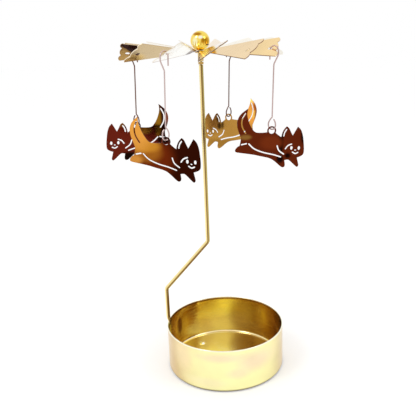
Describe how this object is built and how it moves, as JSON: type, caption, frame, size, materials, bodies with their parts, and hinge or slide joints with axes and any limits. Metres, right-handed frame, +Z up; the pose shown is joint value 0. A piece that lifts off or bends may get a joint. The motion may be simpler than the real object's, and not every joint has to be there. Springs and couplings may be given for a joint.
{
  "type": "rotary tealight holder",
  "caption": "Tealight holder with a round pressed-metal cup, a bent wire post and a bladed rotor that turns on its tip, with pierced leaping-fox charms hanging on hooked wires.",
  "frame": {"origin": "centre of the cup's flat underside, on the surface that the holder stands on", "axes": "+Z up, parallel to the rotor's axis; the post rises from the cup's -X side and leans over the cup towards +X, until it stands upright at X -7.2 mm"},
  "size_m": [0.0947, 0.0777, 0.1685],
  "materials": {
    "cup_metal": "bright gold-coloured plating, smooth mirror-like sheet",
    "post_metal": "satin gold-coloured plating on wire",
    "ball_metal": "polished deep gold",
    "vane_metal": "bright pale gold plating on thin sheet",
    "hanger_metal": "plain drawn wire, grey-brown",
    "charm_brown": "mirror-bright plated sheet that shows as dark red-brown",
    "charm_gold": "mirror-bright plated sheet that shows as gold"
  },
  "bodies": {
    "base": {"candle_cup": "cup_metal", "post": "post_metal", "post_collar": "post_metal"},
    "spinner": {"rotor": "vane_metal", "hub_bush": "post_metal", "ball_knob": "ball_metal"},
    "hanger_1": {"hanger_wire_1": "hanger_metal"},
    "hanger_2": {"hanger_wire_2": "hanger_metal"},
    "hanger_3": {"hanger_wire_3": "hanger_metal"},
    "hanger_4": {"hanger_wire_4": "hanger_metal"},
    "charm_1": {"fox_charm_1": "charm_brown"},
    "charm_2": {"fox_charm_2": "charm_brown"},
    "charm_3": {"fox_charm_3": "charm_gold"},
    "charm_4": {"fox_charm_4": "charm_brown"}
  },
  "joints": [
    {"name": "rotor_spin", "type": "hinge", "parent": "base", "child": "spinner", "pos_m": [-0.0072, 0, 0.1642], "axis": [0, 0, 1], "continuous": true},
    {"name": "hanger_swing_1", "type": "hinge", "parent": "spinner", "child": "hanger_1", "pos_m": [-0.03947, 0.01389, 0.15894], "axis": [0.6561, 0.7547, 0], "range_deg": [-15, 30]},
    {"name": "hanger_swing_2", "type": "hinge", "parent": "spinner", "child": "hanger_2", "pos_m": [-0.02111, -0.03225, 0.15894], "axis": [-0.7547, 0.6561, 0], "range_deg": [-15, 30]},
    {"name": "hanger_swing_3", "type": "hinge", "parent": "spinner", "child": "hanger_3", "pos_m": [0.00666, 0.03225, 0.15894], "axis": [0.7547, -0.6561, 0], "range_deg": [-15, 30]},
    {"name": "hanger_swing_4", "type": "hinge", "parent": "spinner", "child": "hanger_4", "pos_m": [0.02503, -0.01389, 0.15894], "axis": [-0.6561, -0.7547, 0], "range_deg": [-15, 30]},
    {"name": "charm_rock_1", "type": "hinge", "parent": "hanger_1", "child": "charm_1", "pos_m": [-0.04072, 0.01389, 0.12496], "axis": [0.2078, -0.9781, -0.0076], "range_deg": [-30, 30]},
    {"name": "charm_rock_2", "type": "hinge", "parent": "hanger_2", "child": "charm_2", "pos_m": [-0.02235, -0.03225, 0.12496], "axis": [0.2586, 0.9659, -0.0095], "range_deg": [-30, 30]},
    {"name": "charm_rock_3", "type": "hinge", "parent": "hanger_3", "child": "charm_3", "pos_m": [0.00542, 0.03225, 0.12496], "axis": [-0.4997, -0.866, 0.0183], "range_deg": [-30, 30]},
    {"name": "charm_rock_4", "type": "hinge", "parent": "hanger_4", "child": "charm_4", "pos_m": [0.02378, -0.01389, 0.12496], "axis": [-0.1391, 0.9903, 0.0051], "range_deg": [-30, 30]}
  ]
}
